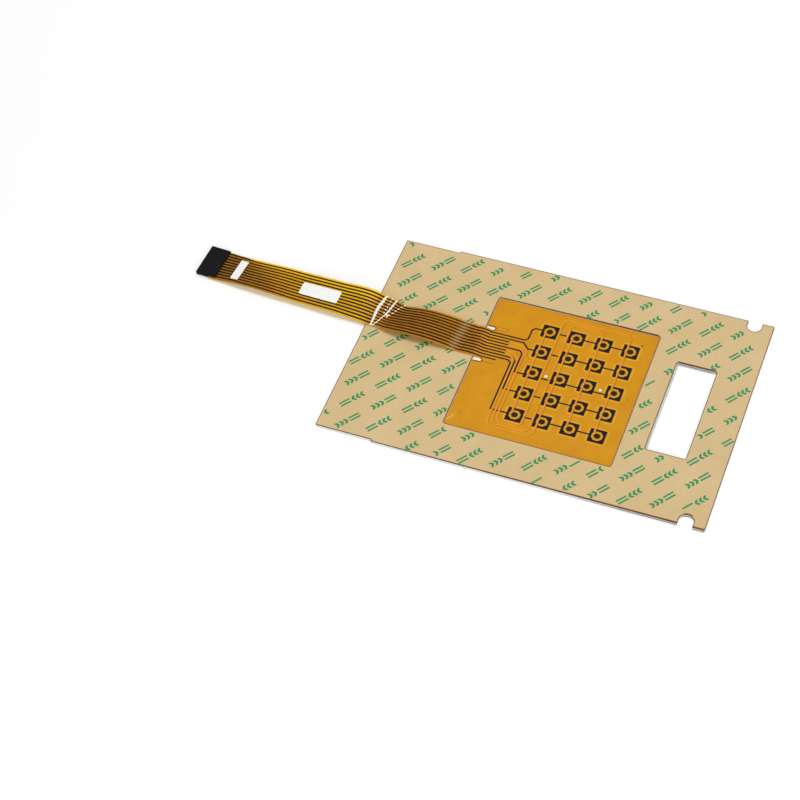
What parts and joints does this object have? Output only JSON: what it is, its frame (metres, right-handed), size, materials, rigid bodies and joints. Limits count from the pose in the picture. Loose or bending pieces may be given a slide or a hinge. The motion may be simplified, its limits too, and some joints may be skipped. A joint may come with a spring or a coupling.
{
  "type": "membrane keypad",
  "caption": "Flat membrane keypad panel with a display window, paper-backed adhesive rear, flexible contact circuit and a ribbon tail that ends in a flat connector.",
  "frame": {"origin": "middle of the panel's outline on the printed front face, which is the face it lies on", "axes": "+Z out of the adhesive back, +Y along the panel towards the display window; the tail leaves towards -Y"},
  "size_m": [0.179, 0.3991, 0.0061],
  "materials": {
    "overlay_film": "fine matt texture",
    "black_ink": "matt print",
    "green_ink": "matt print",
    "red_ink": "matt print",
    "clear_pane": "clear, glossy",
    "bonding_adhesive": "soft adhesive",
    "plate_metal": "satin sheet",
    "spacer_film": "white film",
    "dome_steel": "spring steel",
    "circuit_film": "amber film",
    "carbon_ink": "printed carbon",
    "copper_trace": "copper under clear film",
    "mounting_adhesive": "soft adhesive",
    "liner_paper": "smooth kraft release paper",
    "tail_film": "amber film",
    "label_paper": "matt white",
    "housing_plastic": "moulded",
    "terminal_metal": "plated strip"
  },
  "bodies": {
    "root": {"graphic_overlay": "overlay_film", "key_borders": "black_ink", "green_key_field": "green_ink", "red_key_field": "red_ink", "display_window": "clear_pane", "overlay_adhesive": "bonding_adhesive", "backing_plate": "plate_metal", "dome_spacer": "spacer_film", "flex_circuit": "circuit_film", "column_contacts": "carbon_ink", "row_traces": "copper_trace", "centre_contacts": "carbon_ink", "rear_adhesive": "mounting_adhesive", "release_liner": "liner_paper", "flex_tail": "tail_film", "tail_traces": "carbon_ink", "long_tail_label": "label_paper", "short_tail_label": "label_paper", "connector_housing": "housing_plastic", "snap_dome_1": "dome_steel", "snap_dome_2": "dome_steel", "snap_dome_3": "dome_steel", "snap_dome_4": "dome_steel", "snap_dome_5": "dome_steel", "snap_dome_6": "dome_steel", "snap_dome_7": "dome_steel", "snap_dome_8": "dome_steel", "snap_dome_9": "dome_steel", "snap_dome_10": "dome_steel", "snap_dome_11": "dome_steel", "snap_dome_12": "dome_steel", "snap_dome_13": "dome_steel", "snap_dome_14": "dome_steel", "snap_dome_15": "dome_steel", "snap_dome_16": "dome_steel", "snap_dome_17": "dome_steel", "snap_dome_18": "dome_steel", "snap_dome_19": "dome_steel", "snap_dome_20": "dome_steel", "terminal_1": "terminal_metal", "terminal_2": "terminal_metal", "terminal_3": "terminal_metal", "terminal_4": "terminal_metal", "terminal_5": "terminal_metal", "terminal_6": "terminal_metal", "terminal_7": "terminal_metal", "terminal_8": "terminal_metal", "terminal_9": "terminal_metal", "terminal_10": "terminal_metal"}
  },
  "joints": []
}
